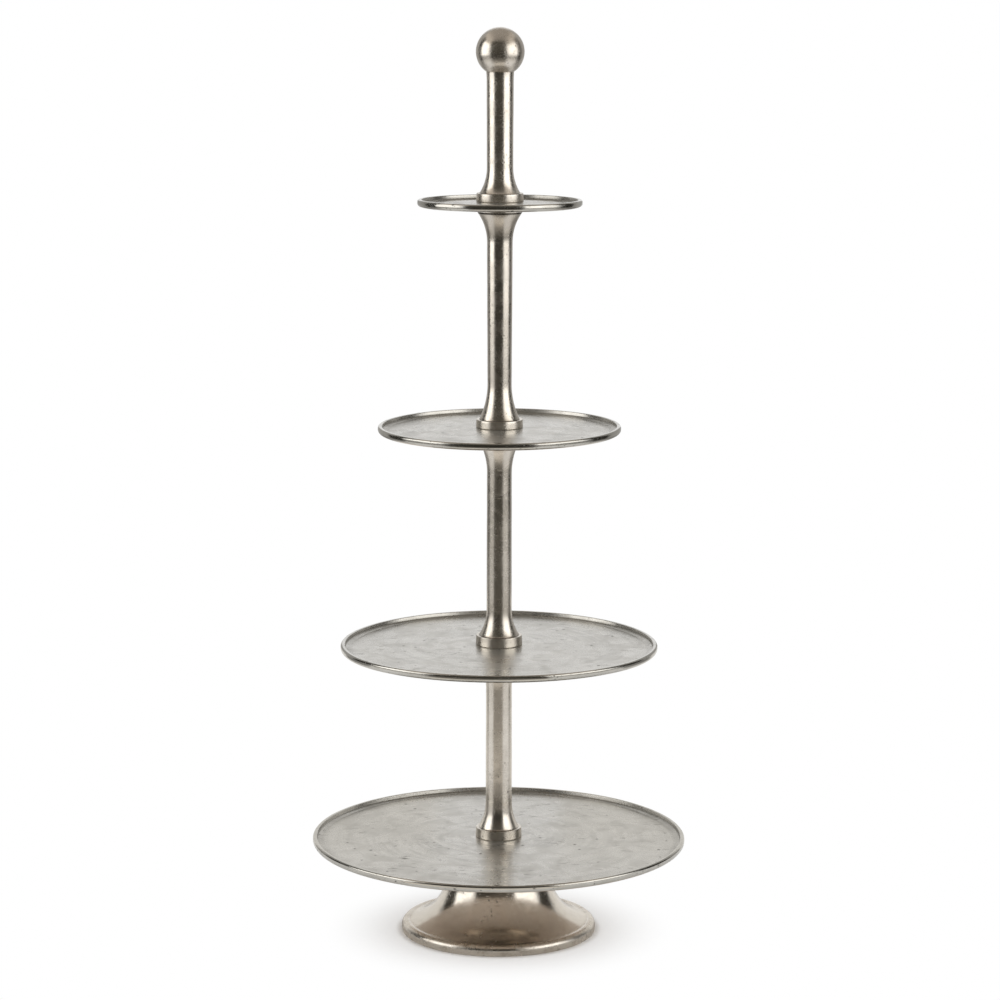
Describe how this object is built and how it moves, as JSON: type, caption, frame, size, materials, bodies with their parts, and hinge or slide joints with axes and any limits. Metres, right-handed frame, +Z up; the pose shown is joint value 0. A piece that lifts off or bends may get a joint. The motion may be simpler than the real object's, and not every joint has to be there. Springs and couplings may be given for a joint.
{
  "type": "etagere",
  "caption": "Tiered serving etagere: round rimmed plates on flared columns over a hollow bell foot, with a handle stem and ball finial on top.",
  "frame": {"origin": "centre of the foot's rim on the surface that the stand rests on", "axes": "+Z up along the column; the stand is round about +Z, so +X and +Y are free; -Y faces the picture's camera"},
  "size_m": [0.3999, 0.4, 0.9662],
  "materials": {
    "plate_nickel": "raw nickel on cast aluminium, satin, pitted and blotchy, with faint turning marks",
    "column_nickel": "raw nickel on cast aluminium, worn bright on the curves, pitted",
    "foot_nickel": "raw nickel on cast aluminium, smooth satin with a rubbed bright lip",
    "finial_nickel": "raw nickel on cast aluminium, polished by hands, pitted",
    "zinc_steel": "zinc-plated steel"
  },
  "bodies": {
    "root": {"foot": "foot_nickel", "foot_bolt": "zinc_steel", "foot_washer": "zinc_steel", "bottom_plate": "plate_nickel", "middle_plate": "plate_nickel", "upper_plate": "plate_nickel", "top_plate": "plate_nickel", "lower_column": "column_nickel", "middle_column": "column_nickel", "upper_column": "column_nickel", "handle_stem": "column_nickel", "lower_column_base_collar": "column_nickel", "middle_column_base_collar": "column_nickel", "upper_column_base_collar": "column_nickel", "handle_base_collar": "column_nickel", "lower_column_top_collar": "column_nickel", "middle_column_top_collar": "column_nickel", "upper_column_top_collar": "column_nickel", "plate_studs": "zinc_steel", "handle_plug": "zinc_steel", "finial_stud": "zinc_steel", "ball_finial": "finial_nickel"}
  },
  "joints": []
}
